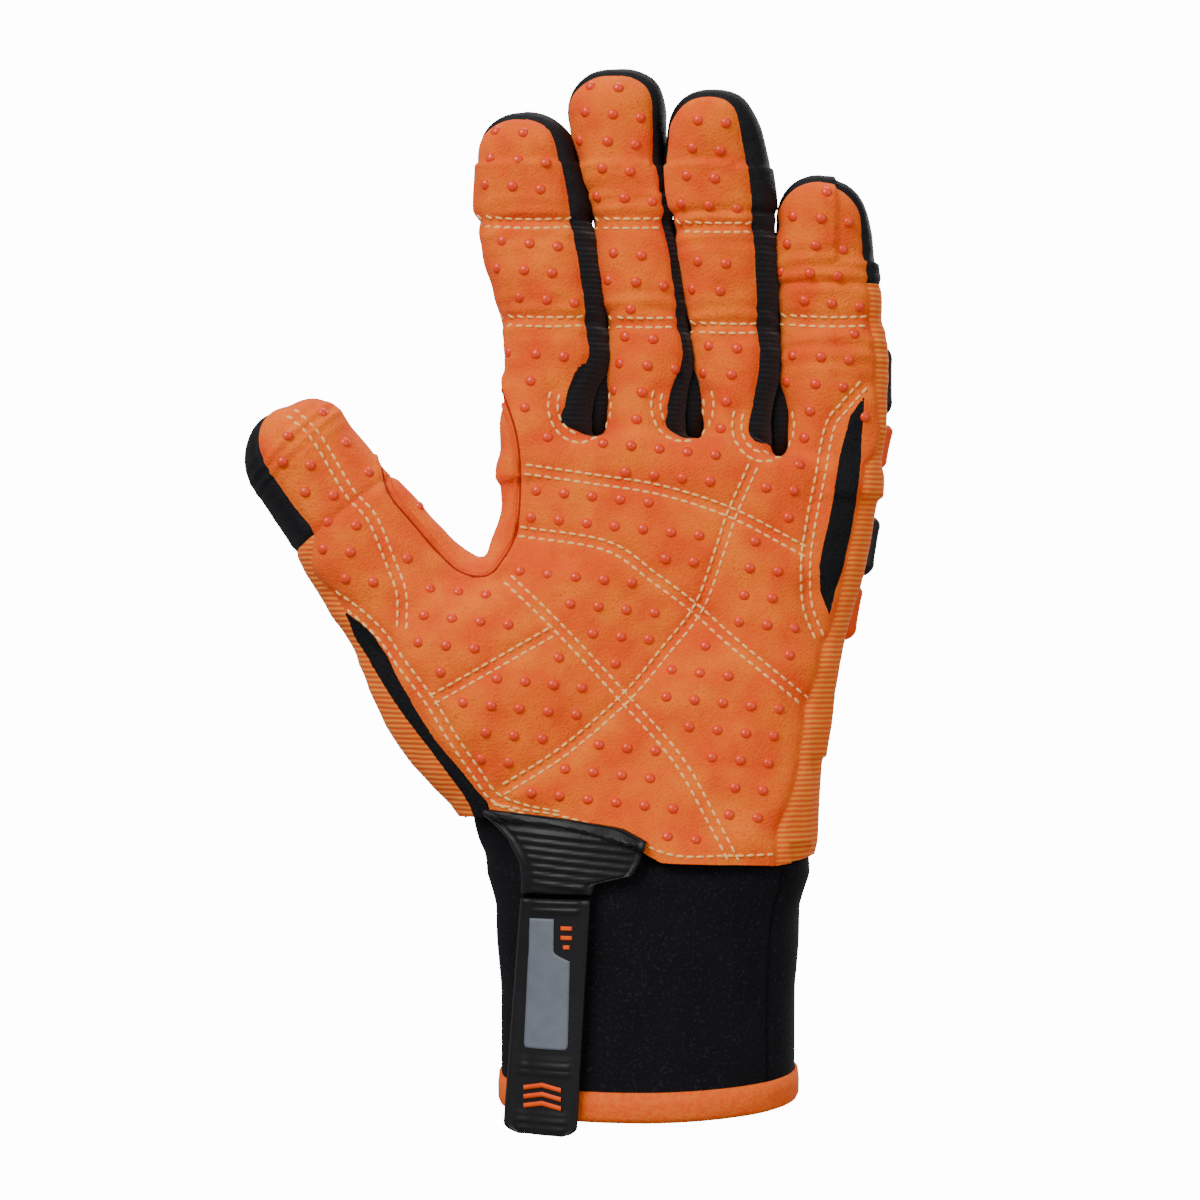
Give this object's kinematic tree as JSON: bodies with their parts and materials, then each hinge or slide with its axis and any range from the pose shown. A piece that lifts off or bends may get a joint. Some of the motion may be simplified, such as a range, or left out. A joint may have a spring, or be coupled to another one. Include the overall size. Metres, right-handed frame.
{
  "type": "impact work glove",
  "caption": "Left-hand impact work glove with a dotted suede palm, knit back, moulded guards, neoprene cuff and a pull tab.",
  "frame": {"origin": "centre of the cuff opening, halfway between the front and back of the hem", "axes": "+Z from the cuff to the fingertips, -Y out of the palm, -X towards the thumb"},
  "size_m": [0.1575, 0.0543, 0.264],
  "materials": {
    "palm_suede": "matte suede",
    "hi_vis_knit": "ribbed knit",
    "black_knit": "fine knit",
    "fingertip_rubberised": "ribbed satin",
    "neoprene": "matte jersey face",
    "binding": "satin stretch binding",
    "moulded_rubber": "satin",
    "orange_rubber": "satin",
    "label_grey": "smooth matte",
    "grip_silicone": "glossy",
    "thread": "twisted thread",
    "mesh": "fine mesh",
    "padding": "foam"
  },
  "bodies": {
    "hand": {"palm_panel": "palm_suede", "back_panel": "hi_vis_knit", "little_side_knit": "hi_vis_knit", "thumb_side_knit": "hi_vis_knit", "little_side_vent": "mesh", "thumb_side_vent": "mesh", "thumb_crotch_patch": "palm_suede", "palm_padding": "padding", "knuckle_guard": "moulded_rubber", "hand_back_guard": "moulded_rubber", "cuff_front": "neoprene", "cuff_back": "neoprene", "cuff_binding": "binding", "pull_tab_base": "moulded_rubber"},
    "index_base": {"index_base_front": "palm_suede", "index_base_walls": "black_knit", "index_base_back": "hi_vis_knit", "index_base_guard": "moulded_rubber"},
    "index_mid": {"index_mid_front": "palm_suede", "index_mid_back": "hi_vis_knit", "index_mid_guard": "moulded_rubber"},
    "index_tip": {"index_tip_front": "palm_suede", "index_tip_cap": "fingertip_rubberised"},
    "middle_base": {"middle_base_front": "palm_suede", "middle_base_walls": "black_knit", "middle_base_back": "hi_vis_knit", "middle_base_guard": "moulded_rubber"},
    "middle_mid": {"middle_mid_front": "palm_suede", "middle_mid_back": "hi_vis_knit", "middle_mid_guard": "moulded_rubber"},
    "middle_tip": {"middle_tip_front": "palm_suede", "middle_tip_cap": "fingertip_rubberised"},
    "ring_base": {"ring_base_front": "palm_suede", "ring_base_walls": "black_knit", "ring_base_back": "hi_vis_knit", "ring_base_guard": "moulded_rubber"},
    "ring_mid": {"ring_mid_front": "palm_suede", "ring_mid_back": "hi_vis_knit", "ring_mid_guard": "moulded_rubber"},
    "ring_tip": {"ring_tip_front": "palm_suede", "ring_tip_cap": "fingertip_rubberised"},
    "little_base": {"little_base_front": "palm_suede", "little_base_walls": "black_knit", "little_base_back": "hi_vis_knit", "little_base_guard": "moulded_rubber"},
    "little_mid": {"little_mid_front": "palm_suede", "little_mid_back": "hi_vis_knit", "little_mid_guard": "moulded_rubber"},
    "little_tip": {"little_tip_front": "palm_suede", "little_tip_cap": "fingertip_rubberised"},
    "thumb_base": {"thumb_base_front": "palm_suede", "thumb_base_back": "hi_vis_knit", "thumb_guard": "moulded_rubber"},
    "thumb_tip": {"thumb_tip_front": "palm_suede", "thumb_tip_cap": "fingertip_rubberised"},
    "pull_tab": {"pull_tab_strap": "moulded_rubber", "id_window": "label_grey", "pull_mark": "orange_rubber"}
  },
  "joints": [
    {"name": "index_root_knuckle", "type": "hinge", "parent": "hand", "child": "index_base", "pos_m": [-0.0241, -0.0065, 0.1735], "axis": [0.9951, 0, 0.0988], "range_deg": [-10, 65]},
    {"name": "index_middle_knuckle", "type": "hinge", "parent": "index_base", "child": "index_mid", "pos_m": [-0.02632, -0.00683, 0.19589], "axis": [0.9951, 0, 0.0988], "range_deg": [-10, 80]},
    {"name": "index_end_knuckle", "type": "hinge", "parent": "index_mid", "child": "index_tip", "pos_m": [-0.02865, -0.00816, 0.21927], "axis": [0.9951, 0, 0.0988], "range_deg": [-10, 55]},
    {"name": "middle_root_knuckle", "type": "hinge", "parent": "hand", "child": "middle_base", "pos_m": [-0.0003, -0.0065, 0.173], "axis": [0.9957, 0, 0.0925], "range_deg": [-10, 65]},
    {"name": "middle_middle_knuckle", "type": "hinge", "parent": "middle_base", "child": "middle_mid", "pos_m": [-0.00261, -0.00686, 0.19789], "axis": [0.9957, 0, 0.0925], "range_deg": [-10, 80]},
    {"name": "middle_end_knuckle", "type": "hinge", "parent": "middle_mid", "child": "middle_tip", "pos_m": [-0.00511, -0.0084, 0.22478], "axis": [0.9957, 0, 0.0925], "range_deg": [-10, 55]},
    {"name": "ring_root_knuckle", "type": "hinge", "parent": "hand", "child": "ring_base", "pos_m": [0.0234, -0.0065, 0.171], "axis": [0.9943, 0, 0.1062], "range_deg": [-10, 65]},
    {"name": "ring_middle_knuckle", "type": "hinge", "parent": "ring_base", "child": "ring_mid", "pos_m": [0.0209, -0.00754, 0.19437], "axis": [0.9943, 0, 0.1062], "range_deg": [-10, 80]},
    {"name": "ring_end_knuckle", "type": "hinge", "parent": "ring_mid", "child": "ring_tip", "pos_m": [0.01835, -0.01103, 0.21823], "axis": [0.9943, 0, 0.1062], "range_deg": [-10, 55]},
    {"name": "little_root_knuckle", "type": "hinge", "parent": "hand", "child": "little_base", "pos_m": [0.047, -0.0065, 0.168], "axis": [0.9968, 0, 0.0797], "range_deg": [-10, 65]},
    {"name": "little_middle_knuckle", "type": "hinge", "parent": "little_base", "child": "little_mid", "pos_m": [0.04532, -0.00727, 0.18893], "axis": [0.9968, 0, 0.0797], "range_deg": [-10, 80]},
    {"name": "little_end_knuckle", "type": "hinge", "parent": "little_mid", "child": "little_tip", "pos_m": [0.04377, -0.00959, 0.20837], "axis": [0.9968, 0, 0.0797], "range_deg": [-10, 55]},
    {"name": "thumb_root_knuckle", "type": "hinge", "parent": "hand", "child": "thumb_base", "pos_m": [-0.05581, -0.00976, 0.12817], "axis": [0.7102, 0.4067, 0.5746], "range_deg": [-10, 45]},
    {"name": "thumb_end_knuckle", "type": "hinge", "parent": "thumb_base", "child": "thumb_tip", "pos_m": [-0.07087, -0.00986, 0.14686], "axis": [0.7102, 0.4067, 0.5746], "range_deg": [-10, 70]},
    {"name": "pull_tab_fold", "type": "hinge", "parent": "hand", "child": "pull_tab", "pos_m": [-0.0234, -0.0244, 0.053], "axis": [-0.8866, 0.4625, 0], "range_deg": [0, 65], "stiffness_Nm_per_rad": 0.004}
  ]
}
